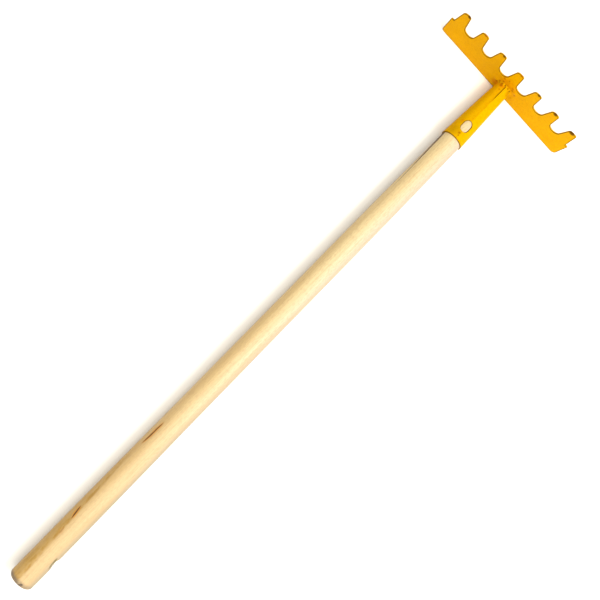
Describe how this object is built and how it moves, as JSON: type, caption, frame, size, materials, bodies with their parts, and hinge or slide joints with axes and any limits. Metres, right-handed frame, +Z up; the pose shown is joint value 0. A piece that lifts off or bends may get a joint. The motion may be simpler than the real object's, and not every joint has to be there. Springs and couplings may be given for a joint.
{
  "type": "child's garden rake",
  "caption": "Small garden rake with a flat toothed steel blade welded across a conical rolled socket on a plain turned wooden handle.",
  "frame": {"origin": "centre of the bounding box on the surface that the rake lies on, teeth up", "axes": "+Y along the handle from its free end to the blade, +X across the blade, +Z up along the teeth"},
  "size_m": [0.1782, 0.6876, 0.056],
  "materials": {
    "wood": "bare sanded light hardwood, matt",
    "yellow_paint": "thick dipped enamel over sheet steel, satin to semi-gloss"
  },
  "bodies": {
    "root": {"handle": "wood", "socket": "yellow_paint", "blade": "yellow_paint", "weld": "yellow_paint"}
  },
  "joints": []
}
